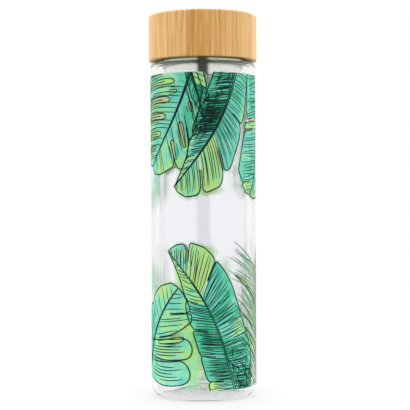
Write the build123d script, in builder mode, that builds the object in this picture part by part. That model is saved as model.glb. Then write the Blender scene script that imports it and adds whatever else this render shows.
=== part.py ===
"""Double-walled glass tea bottle with a bamboo screw lid and a hanging steel infuser.

Millimetres, +Z up. The origin is at the centre of the base, on the table.
Every piece is turned about the Z axis, so each one is a profile in the XZ plane, revolved,
plus a screw thread or a ring of holes where the piece has one.
"""

import os

from build123d import *

os.makedirs("parts", exist_ok=True)

# --- driving dimensions -------------------------------------------------------------
HEIGHT = 235.0  # table to the top of the lid

# outer glass
GLASS_R = 32.45  # outside radius of the barrel
OUTER_WALL = 1.9
SHOULDER_Z = 206.3  # top of the glass shoulder, just under the lid
SHOULDER_R = 2.6  # rounding of the shoulder
BASE_CORNER_R = 6.5
CONTACT_IN_R = 22.5  # inner edge of the ring that stands on the table
PUSH_UP = 3.5  # how far the base is domed up in the middle
DOME_MID = 0.6  # share of the dome's radius at which its arc passes through its middle point
VENT_R = 2.0  # hole through which the glass is sealed
TIP_DROP = 1.7  # how far the sealing bead hangs below the base
TIP_RISE = 0.6  # and how far it stands above it, inside

# inner glass
VESSEL_R = 27.2  # outside radius of the inner vessel
INNER_WALL = 1.8
VESSEL_BOTTOM_Z = 9.2
VESSEL_CORNER_R = 9.0
NECK_R = 26.0  # outside radius of the neck, at the root of the thread
MOUTH_R = 23.9  # inside radius of the mouth
NECK_Z = 208.8  # where the neck becomes straight
NECK_ENTRY = (-1, 0.4)  # direction in which the glass leaves the shoulder for the neck
THROAT_DROP = 1.0  # how far below the hollow's top the bore starts to narrow
MOUTH_Z = 224.6  # top of the glass rim
RIM_ROUND = 0.7

# screw thread between the neck and the lid's liner
LEAD = 6.0
NECK_CREST_R = 27.4
NECK_THREAD_Z = 212.0
NECK_TURNS = 1.4
NECK_ROOT_HALF = 1.2
NECK_CREST_HALF = 0.5
LID_CREST_R = 26.5
LID_TURNS = 1.2
LID_ROOT_HALF = 1.1
LID_CREST_HALF = 0.45
THREAD_DROP = 1.8  # how far the lid's thread runs below the neck's thread
ROOT_SINK = 0.5  # how far a thread's root is sunk into its wall

# lid
LID_R = 33.5
LID_BOTTOM_Z = 206.7
LID_BORE_R = 29.4
LID_CEILING_Z = 230.5
LID_TOP_ROUND = 1.3
LID_BOTTOM_ROUND = 0.7

# liner, moulded in one piece and glued into the lid
GLUE_GAP = 0.1
LINER_IN_R = 28.1
LINER_INSET = 0.5  # how far the liner stops above the lid's lower edge
LINER_PLATE_Z = 228.8
GASKET_RIB_IN_R = 27.1
GASKET_RIB_Z = 225.6
GASKET_RIB_HEIGHT = 0.9

# flat silicone gasket under the liner's plate
GASKET_IN_R = 21.5
GASKET_R = 27.5
GASKET_Z = 226.7
GASKET_THICKNESS = 2.0
GASKET_EDGE_ROUND = 0.4

# infuser basket
BASKET_R = 22.85
BASKET_WALL = 0.5
BASKET_BOTTOM_Z = 160.0
RIM_R = 25.6
RIM_IN_R = 21.9
RIM_Z = 225.8
RIM_THICKNESS = 0.8
RIM_EDGE_ROUND = 0.25
HOLE_R = 1.2
HOLES_AROUND = 24
HOLE_ROWS = 6
FIRST_ROW_Z = 164.0
ROW_PITCH = 5.5
FLOOR_RINGS = {5.0: 6, 10.0: 12, 15.0: 18}  # ring radius: holes on it
FLOOR_HOLE_R = 1.2

# silicone collar that seats the infuser in the mouth
SEAL_IN_R = 22.9
SEAL_FLANGE_R = 25.9
SEAL_SKIRT_R = 23.5
SEAL_BOTTOM_Z = 217.6
SEAL_GAP = 0.05
BEAD_R = 0.35
BEAD_HEIGHTS = (219.2, 221.6)


# --- outer glass: barrel, shoulder, rounded base with a domed middle ------------------
outer_in_r = GLASS_R - OUTER_WALL
shoulder_in_r = SHOULDER_R - OUTER_WALL / 2
corner_in_r = BASE_CORNER_R - OUTER_WALL
corner_centre_r = GLASS_R - BASE_CORNER_R
dome_mid_r = CONTACT_IN_R * DOME_MID
dome_mid_z = PUSH_UP * (1 - DOME_MID**2)
hollow_top_z = SHOULDER_Z - OUTER_WALL

with BuildPart() as outer_glass:
    with BuildSketch(Plane.XZ):
        with BuildLine():
            Line((CONTACT_IN_R, 0), (corner_centre_r, 0))
            RadiusArc((corner_centre_r, 0), (GLASS_R, BASE_CORNER_R), -BASE_CORNER_R)
            Line((GLASS_R, BASE_CORNER_R), (GLASS_R, SHOULDER_Z - SHOULDER_R))
            RadiusArc(
                (GLASS_R, SHOULDER_Z - SHOULDER_R),
                (GLASS_R - SHOULDER_R, SHOULDER_Z),
                -SHOULDER_R,
            )
            Line((GLASS_R - SHOULDER_R, SHOULDER_Z), (VESSEL_R, SHOULDER_Z))
            Line((VESSEL_R, SHOULDER_Z), (VESSEL_R, hollow_top_z))
            Line((VESSEL_R, hollow_top_z), (outer_in_r - shoulder_in_r, hollow_top_z))
            RadiusArc(
                (outer_in_r - shoulder_in_r, hollow_top_z),
                (outer_in_r, hollow_top_z - shoulder_in_r),
                shoulder_in_r,
            )
            Line((outer_in_r, hollow_top_z - shoulder_in_r), (outer_in_r, BASE_CORNER_R))
            RadiusArc((outer_in_r, BASE_CORNER_R), (corner_centre_r, OUTER_WALL), corner_in_r)
            Line((corner_centre_r, OUTER_WALL), (CONTACT_IN_R, OUTER_WALL))
            ThreePointArc(
                (CONTACT_IN_R, OUTER_WALL),
                (dome_mid_r, OUTER_WALL + dome_mid_z),
                (VENT_R, OUTER_WALL + PUSH_UP),
            )
            Line((VENT_R, OUTER_WALL + PUSH_UP), (VENT_R, PUSH_UP))
            ThreePointArc((VENT_R, PUSH_UP), (dome_mid_r, dome_mid_z), (CONTACT_IN_R, 0))
        make_face()
    revolve(axis=Axis.Z)
outer_glass.part.label = "outer_glass"

# --- vent tip: the bead of melted glass that closes the base --------------------------
with BuildPart() as vent_tip:
    with BuildSketch(Plane.XY.offset(PUSH_UP - TIP_DROP)):
        Circle(VENT_R)
    extrude(amount=TIP_DROP + OUTER_WALL + TIP_RISE)
    fillet(vent_tip.edges().group_by(Axis.Z)[-1], radius=TIP_RISE)
    fillet(vent_tip.edges().group_by(Axis.Z)[0], radius=TIP_DROP)
vent_tip.part.label = "vent_tip"

# --- inner glass: the vessel, its narrowed neck, and the thread outside it ------------
vessel_in_r = VESSEL_R - INNER_WALL
vessel_corner_z = VESSEL_BOTTOM_Z + VESSEL_CORNER_R
vessel_floor_z = VESSEL_BOTTOM_Z + INNER_WALL
vessel_corner_in_r = VESSEL_CORNER_R - INNER_WALL
neck_throat_z = hollow_top_z - THROAT_DROP

with BuildPart() as inner_glass:
    with BuildSketch(Plane.XZ):
        with BuildLine():
            Line((0, VESSEL_BOTTOM_Z), (VESSEL_R - VESSEL_CORNER_R, VESSEL_BOTTOM_Z))
            RadiusArc(
                (VESSEL_R - VESSEL_CORNER_R, VESSEL_BOTTOM_Z),
                (VESSEL_R, vessel_corner_z),
                -VESSEL_CORNER_R,
            )
            Line((VESSEL_R, vessel_corner_z), (VESSEL_R, SHOULDER_Z))
            Spline(
                [(VESSEL_R, SHOULDER_Z), (NECK_R, NECK_Z)],
                tangents=[NECK_ENTRY, (0, 1)],
            )
            Line((NECK_R, NECK_Z), (NECK_R, MOUTH_Z - RIM_ROUND))
            RadiusArc((NECK_R, MOUTH_Z - RIM_ROUND), (NECK_R - RIM_ROUND, MOUTH_Z), -RIM_ROUND)
            Line((NECK_R - RIM_ROUND, MOUTH_Z), (MOUTH_R + RIM_ROUND, MOUTH_Z))
            RadiusArc((MOUTH_R + RIM_ROUND, MOUTH_Z), (MOUTH_R, MOUTH_Z - RIM_ROUND), -RIM_ROUND)
            Line((MOUTH_R, MOUTH_Z - RIM_ROUND), (MOUTH_R, NECK_Z))
            Spline(
                [(MOUTH_R, NECK_Z), (vessel_in_r, neck_throat_z)],
                tangents=[(0, -1), (0, -1)],
            )
            Line((vessel_in_r, neck_throat_z), (vessel_in_r, vessel_corner_z))
            RadiusArc(
                (vessel_in_r, vessel_corner_z),
                (vessel_in_r - vessel_corner_in_r, vessel_floor_z),
                vessel_corner_in_r,
            )
            Line((vessel_in_r - vessel_corner_in_r, vessel_floor_z), (0, vessel_floor_z))
            Line((0, vessel_floor_z), (0, VESSEL_BOTTOM_Z))
        make_face()
    revolve(axis=Axis.Z)
    # external right-hand thread, a trapezium swept along a helix and sunk into the neck
    with BuildLine() as neck_helix:
        Helix(LEAD, NECK_TURNS * LEAD, NECK_R, center=(0, 0, NECK_THREAD_Z))
    neck_start = Plane(origin=neck_helix.line @ 0, x_dir=(1, 0, 0), z_dir=neck_helix.line % 0)
    neck_depth = NECK_CREST_R - NECK_R
    with BuildSketch(neck_start):
        with BuildLine():
            Polyline(
                (-ROOT_SINK, -NECK_ROOT_HALF),
                (0, -NECK_ROOT_HALF),
                (neck_depth, -NECK_CREST_HALF),
                (neck_depth, NECK_CREST_HALF),
                (0, NECK_ROOT_HALF),
                (-ROOT_SINK, NECK_ROOT_HALF),
                close=True,
            )
        make_face()
    sweep(path=neck_helix.line, is_frenet=True)
inner_glass.part.label = "inner_glass"

# --- bamboo lid: a turned cup with softened edges --------------------------------------
with BuildPart() as lid_shell:
    with BuildSketch(Plane.XZ):
        with BuildLine():
            Polyline(
                (0, LID_CEILING_Z),
                (LID_BORE_R, LID_CEILING_Z),
                (LID_BORE_R, LID_BOTTOM_Z),
                (LID_R, LID_BOTTOM_Z),
                (LID_R, HEIGHT),
                (0, HEIGHT),
                close=True,
            )
        make_face()
    revolve(axis=Axis.Z)
    fillet(lid_shell.edges().group_by(Axis.Z)[-1], radius=LID_TOP_ROUND)
    fillet(
        lid_shell.edges().filter_by(GeomType.CIRCLE).group_by(Axis.Z)[0].sort_by(SortBy.RADIUS)[-1],
        radius=LID_BOTTOM_ROUND,
    )
lid_shell.part.label = "lid_shell"

# --- liner: plastic cup with the lid's thread and a rib that holds the gasket ----------
liner_r = LID_BORE_R - GLUE_GAP
liner_bottom_z = LID_BOTTOM_Z + LINER_INSET

with BuildPart() as lid_liner:
    with BuildSketch(Plane.XZ):
        with BuildLine():
            Polyline(
                (0, LINER_PLATE_Z),
                (LINER_IN_R, LINER_PLATE_Z),
                (LINER_IN_R, GASKET_RIB_Z + GASKET_RIB_HEIGHT),
                (GASKET_RIB_IN_R, GASKET_RIB_Z + GASKET_RIB_HEIGHT / 2),
                (LINER_IN_R, GASKET_RIB_Z),
                (LINER_IN_R, liner_bottom_z),
                (liner_r, liner_bottom_z),
                (liner_r, LID_CEILING_Z),
                (0, LID_CEILING_Z),
                close=True,
            )
        make_face()
    revolve(axis=Axis.Z)
    # internal thread, running one step below the neck's so that it bears on its underside
    with BuildLine() as lid_helix:
        Helix(
            LEAD,
            LID_TURNS * LEAD,
            LINER_IN_R,
            center=(0, 0, NECK_THREAD_Z - THREAD_DROP),
        )
    lid_start = Plane(origin=lid_helix.line @ 0, x_dir=(1, 0, 0), z_dir=lid_helix.line % 0)
    lid_depth = LINER_IN_R - LID_CREST_R
    with BuildSketch(lid_start):
        with BuildLine():
            Polyline(
                (ROOT_SINK, -LID_ROOT_HALF),
                (0, -LID_ROOT_HALF),
                (-lid_depth, -LID_CREST_HALF),
                (-lid_depth, LID_CREST_HALF),
                (0, LID_ROOT_HALF),
                (ROOT_SINK, LID_ROOT_HALF),
                close=True,
            )
        make_face()
    sweep(path=lid_helix.line, is_frenet=True)
lid_liner.part.label = "lid_liner"

# --- gasket: flat silicone ring that the lid presses on the infuser's rim ---------------
with BuildPart() as lid_gasket:
    with BuildSketch(Plane.XY.offset(GASKET_Z)):
        Circle(GASKET_R)
        Circle(GASKET_IN_R, mode=Mode.SUBTRACT)
    extrude(amount=GASKET_THICKNESS)
    fillet(lid_gasket.edges(), radius=GASKET_EDGE_ROUND)
lid_gasket.part.label = "lid_gasket"

# --- infuser wall: thin steel tube with rings of holes below a plain collar --------------
half_step = 180 / HOLES_AROUND
drill_length = 6 * BASKET_WALL

with BuildPart() as infuser_wall:
    with BuildSketch(Plane.XY.offset(BASKET_BOTTOM_Z)):
        Circle(BASKET_R)
        Circle(BASKET_R - BASKET_WALL, mode=Mode.SUBTRACT)
    extrude(amount=RIM_Z - BASKET_BOTTOM_Z)
    # each row of holes is turned by half a step, so that the rows interlock
    for row in range(HOLE_ROWS):
        row_angle = row % 2 * half_step
        with Locations((0, 0, FIRST_ROW_Z + row * ROW_PITCH)):
            with PolarLocations(BASKET_R, HOLES_AROUND, start_angle=row_angle):
                Cylinder(HOLE_R, drill_length, rotation=(0, 90, 0), mode=Mode.SUBTRACT)
infuser_wall.part.label = "infuser_wall"

# --- infuser floor: perforated disc welded into the wall's lower end ---------------------
with BuildPart() as infuser_floor:
    with BuildSketch(Plane.XY.offset(BASKET_BOTTOM_Z)):
        Circle(BASKET_R - BASKET_WALL)
        Circle(FLOOR_HOLE_R, mode=Mode.SUBTRACT)
        for ring_r, count in FLOOR_RINGS.items():
            with PolarLocations(ring_r, count):
                Circle(FLOOR_HOLE_R, mode=Mode.SUBTRACT)
    extrude(amount=BASKET_WALL)
infuser_floor.part.label = "infuser_floor"

# --- infuser rim: flat steel flange that hangs the basket in the mouth -------------------
with BuildPart() as infuser_rim:
    with BuildSketch(Plane.XY.offset(RIM_Z)):
        Circle(RIM_R)
        Circle(RIM_IN_R, mode=Mode.SUBTRACT)
    extrude(amount=RIM_THICKNESS)
    fillet(infuser_rim.edges(), radius=RIM_EDGE_ROUND)
infuser_rim.part.label = "infuser_rim"

# --- infuser seal: silicone collar, a flange over the glass rim and a beaded skirt -------
with BuildPart() as infuser_seal:
    with BuildSketch(Plane.XZ):
        with BuildLine():
            Polyline(
                (SEAL_IN_R, SEAL_BOTTOM_Z),
                (SEAL_SKIRT_R, SEAL_BOTTOM_Z),
                (SEAL_SKIRT_R, MOUTH_Z + SEAL_GAP),
                (SEAL_FLANGE_R, MOUTH_Z + SEAL_GAP),
                (SEAL_FLANGE_R, RIM_Z),
                (SEAL_IN_R, RIM_Z),
                close=True,
            )
        make_face()
        for bead_z in BEAD_HEIGHTS:
            with Locations((SEAL_SKIRT_R, bead_z)):
                Circle(BEAD_R - SEAL_GAP)
    revolve(axis=Axis.Z)
infuser_seal.part.label = "infuser_seal"

# --- one STEP file for each piece --------------------------------------------------------
for piece in (
    outer_glass,
    vent_tip,
    inner_glass,
    lid_shell,
    lid_liner,
    lid_gasket,
    infuser_wall,
    infuser_floor,
    infuser_rim,
    infuser_seal,
):
    export_step(piece.part, f"parts/{piece.part.label}.step")
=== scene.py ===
"""Looks of a double-walled glass tea bottle: blown glass, bamboo lid, steel infuser and a leaf print."""

import math

import bpy
import numpy as np
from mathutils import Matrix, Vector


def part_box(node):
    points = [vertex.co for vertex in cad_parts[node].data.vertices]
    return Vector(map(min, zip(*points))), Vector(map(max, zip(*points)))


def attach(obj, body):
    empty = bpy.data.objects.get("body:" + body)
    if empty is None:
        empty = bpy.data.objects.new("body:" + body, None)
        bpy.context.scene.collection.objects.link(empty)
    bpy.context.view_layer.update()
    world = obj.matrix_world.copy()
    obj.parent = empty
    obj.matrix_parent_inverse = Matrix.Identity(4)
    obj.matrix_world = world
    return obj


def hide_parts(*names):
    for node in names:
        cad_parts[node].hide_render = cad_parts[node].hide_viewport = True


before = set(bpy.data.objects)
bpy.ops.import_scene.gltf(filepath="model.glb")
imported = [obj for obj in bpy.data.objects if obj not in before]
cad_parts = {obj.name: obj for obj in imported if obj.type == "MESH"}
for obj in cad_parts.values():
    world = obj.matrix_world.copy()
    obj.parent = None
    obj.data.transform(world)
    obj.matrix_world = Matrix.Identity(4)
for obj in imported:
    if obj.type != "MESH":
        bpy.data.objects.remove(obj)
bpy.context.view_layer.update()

MM = 0.001
TURN = 2 * math.pi


# ---------------------------------------------------------------- sizes taken from the frame
def span(node):
    """Outside radius, lowest and highest z of a CAD node that is turned about the Z axis."""
    low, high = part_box(node)
    return high.x, low.z, high.z


GLASS_R, _, SHOULDER_Z = span("outer_glass")
NECK_CREST_R, VESSEL_Z, MOUTH_Z = span("inner_glass")
BASKET_R, BASKET_Z, COLLAR_Z = span("infuser_wall")

# ---------------------------------------------------------------- camera, first of all
CAMERA_DISTANCE = 743.7 * MM
CAMERA_HEIGHT = 124.9 * MM
SENSOR = 36.0  # its width in millimetres
LENS = 104.8039  # focal length in millimetres
ROLL = 0.0045  # radians
HORIZON_SHIFT = -0.0287
SIDE_SHIFT = 0.0042

camera_data = bpy.data.cameras.new("camera")
camera = bpy.data.objects.new("camera", camera_data)
bpy.context.scene.collection.objects.link(camera)
bpy.context.scene.camera = camera
camera.location = (0, -CAMERA_DISTANCE, CAMERA_HEIGHT)
camera.rotation_euler = (math.pi / 2, ROLL, 0)
camera_data.sensor_width = SENSOR
camera_data.lens = LENS
camera_data.shift_x = SIDE_SHIFT
camera_data.shift_y = HORIZON_SHIFT
camera_data.clip_start = 0.01
camera_data.clip_end = 100


# ---------------------------------------------------------------- small tools
def linear(hex_colour):
    """sRGB hex colour to the linear RGBA that a shader wants."""
    channels = [int(hex_colour[i : i + 2], 16) / 255 for i in (1, 3, 5)]
    return (*[c / 12.92 if c <= 0.04045 else ((c + 0.055) / 1.055) ** 2.4 for c in channels], 1.0)


def add(tree, kind, settings=None, wires=None, stops=()):
    """Adds a shader node. settings are its properties. wires gives each input a value, or the socket that it
    is linked from; a node there stands for its first output. stops are for a colour ramp: each is a position
    and a hex colour."""
    node = tree.nodes.new("ShaderNode" + kind)
    for name, value in (settings or {}).items():
        setattr(node, name, value)
    for name, value in (wires or {}).items():
        socket = node.inputs[name]
        if isinstance(value, bpy.types.Node):
            value = value.outputs[0]
        if isinstance(value, bpy.types.NodeSocket):
            tree.links.new(value, socket)
        else:
            socket.default_value = value
    if stops:
        elements = node.color_ramp.elements
        while len(elements) < len(stops):
            elements.new(0.5)
        for element, (position, colour) in zip(elements, stops):
            element.position = position
            element.color = linear(colour)
    return node


def new_material(name):
    """An empty node material and its tree."""
    material = bpy.data.materials.new(name)
    material.use_nodes = True
    material.node_tree.nodes.clear()
    return material, material.node_tree


def make_object(name, vertices, faces, material, smooth_angle=40):
    """A mesh object at the origin, shaded smooth below an angle in degrees."""
    mesh = bpy.data.meshes.new(name)
    mesh.from_pydata(vertices.reshape(-1, 3).tolist(), [], faces)
    mesh.shade_smooth()
    mesh.set_sharp_from_angle(angle=math.radians(smooth_angle))
    mesh.materials.append(material)
    made = bpy.data.objects.new(name, mesh)
    bpy.context.scene.collection.objects.link(made)
    return made


def smooth(x):
    """Goes from 0 to 1 as x does, level at both ends."""
    x = np.clip(x, 0, 1)
    return x * x * (3 - 2 * x)


def arc(centre_r, centre_z, radius, start, end, steps):
    """Points (r, z) on an arc, angles in degrees measured from +r towards +z."""
    t = np.radians(np.linspace(start, end, steps))
    return np.stack([centre_r + radius * np.cos(t), centre_z + radius * np.sin(t)], axis=1)


def straight(start, end, steps):
    """Evenly spaced points between two (r, z) points."""
    t = np.linspace(0, 1, steps)[:, None]
    return np.asarray(start) * (1 - t) + np.asarray(end) * t


def crowded(start, end):
    """Points along a straight line that crowd together towards both ends, where a curve meets it."""
    t = (1 - np.cos(np.linspace(0, math.pi, 26)))[:, None] / 2
    return np.asarray(start) * (1 - t) + np.asarray(end) * t


def eased(start, end, steps):
    """Points from one (r, z) to another that leave and arrive along z."""
    t = np.linspace(0, 1, steps)
    r = start[0] + (end[0] - start[0]) * smooth(t)
    return np.stack([r, start[1] + (end[1] - start[1]) * t], axis=1)


def turned(profile, segments, bump=None):
    """A profile of (r, z) carried round the Z axis: x = r cos a, y = r sin a. bump(z, a, r) adds to r.
    Ends at r = 0 become a single pole. Gives vertices and faces, facing out where the profile climbs."""
    profile = np.asarray(profile, float)
    angle = np.arange(segments) / segments * TURN
    r = np.repeat(profile[:, :1], segments, axis=1)
    z = np.repeat(profile[:, 1:], segments, axis=1)
    if bump is not None:
        r = r + bump(z, np.broadcast_to(angle, z.shape), r)
    rows = np.stack([r * np.cos(angle), r * np.sin(angle), z], axis=2)
    first_pole, last_pole = profile[0, 0] < 1e-9, profile[-1, 0] < 1e-9
    body = rows[1 if first_pole else 0 : len(rows) - (1 if last_pole else 0)]
    grid = np.arange(len(body) * segments).reshape(len(body), segments)
    a, b = grid[:-1], grid[1:]
    faces = np.stack([a, np.roll(a, -1, 1), np.roll(b, -1, 1), b], axis=2).reshape(-1, 4).tolist()
    vertices = [body.reshape(-1, 3)]
    top = grid.size
    if first_pole:
        vertices.append(rows[0, :1])
        faces += np.stack([np.full(segments, top), np.roll(grid[0], -1), grid[0]], axis=1).tolist()
        top += 1
    if last_pole:
        vertices.append(rows[-1, :1])
        faces += np.stack([np.full(segments, top), grid[-1], np.roll(grid[-1], -1)], axis=1).tolist()
    return np.concatenate(vertices), faces


# ---------------------------------------------------------------- materials
STRIP_WIDTH = 9.9 * MM
STRIP_OFFSET = 0.96  # puts a glue line just beside the middle of the lid
STRIP_DRAW = 33  # which run of random shades the strips get; it is picked so that the strip by the middle of the lid is darker, partly the strip's own shade and partly painted shade where the lid faces the dark front
STRIP_CONTRAST = 0.22  # how far the strips differ in shade
STRIP_JUMP = 370 * MM  # the fibres' pattern moves on by this much from one strip to the next
FIBRE = 0.55 * MM  # bundles of fibres; the real ones are half as wide, too fine to show
FIBRE_BAND = 1.4 * MM  # broader bands of paler and darker fibres
FIBRE_STRETCH = 0.03  # fibres run along z, so the pattern is drawn out that way
FIBRE_DEPTH = 0.15 * MM
GREEN_BAND_FROM, GREEN_BAND_TO = 197.0 * MM, 211.0 * MM  # the thick shoulder lies between these heights; the glass there is tinted green, partly its own tint where thick and partly a painted reflection of the green print
CLOUD = 8.0 * MM  # size of the soft clouds in a moulded polymer
STREAK = 0.3 * MM  # spacing of the brushed streaks; the real ones are finer
BLOOM = 9.0 * MM  # size of the deeper and paler patches in the printed colour
INK_PATCH = 3.0 * MM  # and in the line ink
FULL_COVER = 0.92  # how opaque the printed colour is at its thickest
TONE_TOP = 1.25  # the tone at the top of its colour ramp
SMOOTHSTEP = {"interpolation_type": "SMOOTHSTEP"}
ONE_D = {"noise_dimensions": "1D"}
NOISE = {"From Min": 0.3, "From Max": 0.7}  # a noise keeps mostly within this range


def clear_glass(tree, place):
    """Borosilicate glass, blown and flame polished: clear and very smooth. It is colourless where it is thin,
    and green where the two glasses are fused into one thick shoulder under the lid: partly the thick glass's
    own tint, partly a painted reflection of the green print."""
    parts = add(tree, "SeparateXYZ", wires={"Vector": place}).outputs
    # a green band between two heights: partly the thick glass's own tint, partly a painted reflection of the
    # green print
    thick = add(tree, "MapRange", wires={"Value": parts["Z"], "From Min": GREEN_BAND_FROM, "From Max": GREEN_BAND_TO})
    shades = [(0.0, "#FDFDFE"), (0.52, "#FBFCF9"), (0.6, "#D8EABF"), (0.8, "#D8EABF"), (0.9, "#FAFCF8")]
    tint_and_sheen = add(tree, "ValToRGB", wires={"Fac": thick}, stops=shades)
    return {
        "Base Color": tint_and_sheen,
        "Roughness": 0.0,
        "IOR": 1.473,
        "Transmission Weight": 1.0,
    }


def bamboo(tree, place):
    """Laminated bamboo, turned and oiled. Strips 9.9 mm wide are glued side by side across x, each of its own
    shade; the one by the middle of the lid is darker, partly painted shade. A dark glue line lies between the
    strips. Fine fibres run along z and show as specks on the end grain."""
    parts = add(tree, "SeparateXYZ", wires={"Vector": place}).outputs
    counted = {0: parts["X"], 1: 1 / STRIP_WIDTH, 2: STRIP_OFFSET}
    strips = add(tree, "Math", {"operation": "MULTIPLY_ADD"}, counted)
    number = add(tree, "Math", {"operation": "FLOOR"}, {0: strips})
    # the chosen run of random shades darkens the strip by the middle of the lid: partly its own shade, partly
    # painted shade
    drawn = add(tree, "Math", {"operation": "ADD"}, {0: number, 1: STRIP_DRAW})
    shade = add(tree, "TexWhiteNoise", ONE_D, {"W": drawn})
    contrast = {0: shade, 1: STRIP_CONTRAST, 2: -STRIP_CONTRAST / 2}
    toned = add(tree, "Math", {"operation": "MULTIPLY_ADD"}, contrast)

    # the glue line, a few hundredths of a strip wide, shows more at some joints than at others
    joint = add(tree, "Math", {"operation": "ROUND"}, {0: strips})
    strength = add(tree, "TexWhiteNoise", ONE_D, {"W": joint})
    within = add(tree, "Math", {"operation": "PINGPONG"}, {0: strips, 1: 0.5})
    line = {"Value": within, "From Min": 0.01, "From Max": 0.04, "To Min": 1.0, "To Max": 0.0}
    glue = add(tree, "MapRange", SMOOTHSTEP, line)
    shown_glue = add(tree, "Math", {"operation": "MULTIPLY"}, {0: glue, 1: strength})

    # each strip has its own fibres
    jump = add(tree, "Math", {"operation": "MULTIPLY"}, {0: number, 1: STRIP_JUMP})
    apart = add(tree, "CombineXYZ", wires={"Y": jump})
    moved = add(tree, "VectorMath", {"operation": "ADD"}, {0: place, 1: apart})
    stretched = add(tree, "Mapping", wires={"Vector": moved, "Scale": (1, 1, FIBRE_STRETCH)})
    fine = {"Vector": stretched, "Scale": 1 / FIBRE, "Detail": 3.0, "Roughness": 0.6}
    fibres = add(tree, "TexNoise", wires=fine)
    bands = {"Vector": stretched, "Scale": 1 / FIBRE_BAND, "Detail": 1.0}
    broad = add(tree, "TexNoise", wires=bands)
    grain = add(tree, "Mix", {"data_type": "FLOAT"}, {"Factor": 0.4, "A": fibres, "B": broad})
    value = add(tree, "Math", {"operation": "ADD"}, {0: grain, 1: toned})
    shades = [(0.28, "#BC7D36"), (0.42, "#CF974C"), (0.54, "#D9AD69"), (0.7, "#E2BE82")]
    wood = add(tree, "ValToRGB", wires={"Fac": value}, stops=shades)
    lined = {"Factor": shown_glue, "A": wood, "B": linear("#A46E30")}
    glued = add(tree, "Mix", {"data_type": "RGBA"}, lined)
    oil = {"Value": fibres, **NOISE, "To Min": 0.48, "To Max": 0.36}
    oiled = add(tree, "MapRange", wires=oil)
    relief = add(tree, "Bump", wires={"Height": fibres, "Strength": 0.25, "Distance": FIBRE_DEPTH})
    return {
        "Base Color": glued.outputs["Result"],
        "Roughness": oiled,
        "IOR": 1.5,
        "Normal": relief,
    }


def polypropylene(tree, place):
    """Natural polypropylene, injection moulded: milky and satin, with a faint cloudiness and a spark-eroded
    texture of 0.4 mm."""
    return moulded(tree, place, ("#DAD9D1", "#E9E8E1"), 0.38, 1.49, 0.4 * MM)


def silicone(tree, place):
    """Silicone rubber, compression moulded: white, soft-looking and matt, with a fine dusty texture."""
    return moulded(tree, place, ("#E3E3DD", "#F0F0EB"), 0.55, 1.41, 0.25 * MM)


def moulded(tree, place, shades, roughness, ior, texture):
    """A moulded polymer: two close shades in soft clouds, and a fine texture from the mould."""
    clouds = add(tree, "TexNoise", wires={"Vector": place, "Scale": 1 / CLOUD, "Detail": 2.0})
    colour = add(tree, "ValToRGB", wires={"Fac": clouds}, stops=[(0.35, shades[0]), (0.65, shades[1])])
    pits = add(tree, "TexNoise", wires={"Vector": place, "Scale": 1 / texture, "Detail": 1.0})
    relief = add(tree, "Bump", wires={"Height": pits, "Strength": 0.15, "Distance": 0.03 * MM})
    return {
        "Base Color": colour,
        "Roughness": roughness,
        "IOR": ior,
        "Subsurface Weight": 0.15,
        "Subsurface Scale": 1.5 * MM,
        "Normal": relief,
    }


def steel(tree, place, wrap=None):
    """Stainless steel, drawn and brushed round: satin, with fine streaks round the axis. With a wrap, a UV
    map that runs round the piece, the brushing spreads each reflection up and down."""
    drawn_out = add(tree, "Mapping", wires={"Vector": place, "Scale": (0.02, 0.02, 1)})
    brushing = {"Vector": drawn_out, "Scale": 1 / STREAK, "Detail": 2.0}
    streaks = add(tree, "TexNoise", wires=brushing)
    colour = add(tree, "ValToRGB", wires={"Fac": streaks}, stops=[(0.3, "#E2E2DF"), (0.7, "#F2F2F0")])
    polish = {"Value": streaks, **NOISE, "To Min": 0.16, "To Max": 0.24}
    satin = add(tree, "MapRange", wires=polish)
    finish = {"Base Color": colour, "Metallic": 1.0, "Roughness": satin}
    if wrap:
        round_it = add(tree, "Tangent", {"direction_type": "UV_MAP", "uv_map": wrap})
        finish |= {"Anisotropic": 1.0, "Anisotropic Rotation": 0.25, "Tangent": round_it}
    return finish


def watercolour(tree, place):
    """Screen-printed enamel ink that copies watercolour: thin, a little see-through, with streaks along the
    veins and blooms of deeper and paler colour."""
    tone = add(tree, "Attribute", {"attribute_name": "tone"}).outputs["Fac"]
    cover = add(tree, "Attribute", {"attribute_name": "cover"}).outputs["Fac"]
    grain = add(tree, "UVMap", {"uv_map": "grain"})
    # the streaks are about 1 mm wide, and 11 mm long along the veins
    drawn_out = add(tree, "Mapping", wires={"Vector": grain, "Scale": (0.9, 0.09, 1)})
    brushed = {"Vector": drawn_out, "Scale": 1.0, "Detail": 3.0, "Roughness": 0.6}
    streak = add(tree, "TexNoise", wires=brushed)
    bloom = add(tree, "TexNoise", wires={"Vector": place, "Scale": 1 / BLOOM, "Detail": 2.0})
    for noise, depth in ((streak, 0.11), (bloom, 0.17)):
        limits = {"Value": noise, **NOISE, "To Min": -depth, "To Max": depth}
        shift = add(tree, "MapRange", wires=limits)
        tone = add(tree, "Math", {"operation": "ADD"}, {0: tone, 1: shift})
    share = add(tree, "Math", {"operation": "DIVIDE", "use_clamp": True}, {0: tone, 1: TONE_TOP})
    colour = add(tree, "ValToRGB", wires={"Fac": share}, stops=[
        (0.0, "#0A4A48"),
        (0.1, "#0F6F6A"),
        (0.22, "#1C9C78"),
        (0.34, "#46C795"),
        (0.46, "#64D3BA"),
        (0.56, "#82E0C2"),
        (0.66, "#9EE6A2"),
        (0.78, "#B0E788"),
        (0.9, "#BDE98A"),
        (1.0, "#C6CB96"),
    ])
    alpha = add(tree, "Math", {"operation": "MULTIPLY"}, {0: cover, 1: FULL_COVER})
    return {
        "Base Color": colour,
        "Alpha": alpha,
        "Roughness": 0.6,
        "IOR": 1.5,
        "Specular IOR Level": 0.2,
        "Transmission Weight": 0.15,
    }


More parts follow.
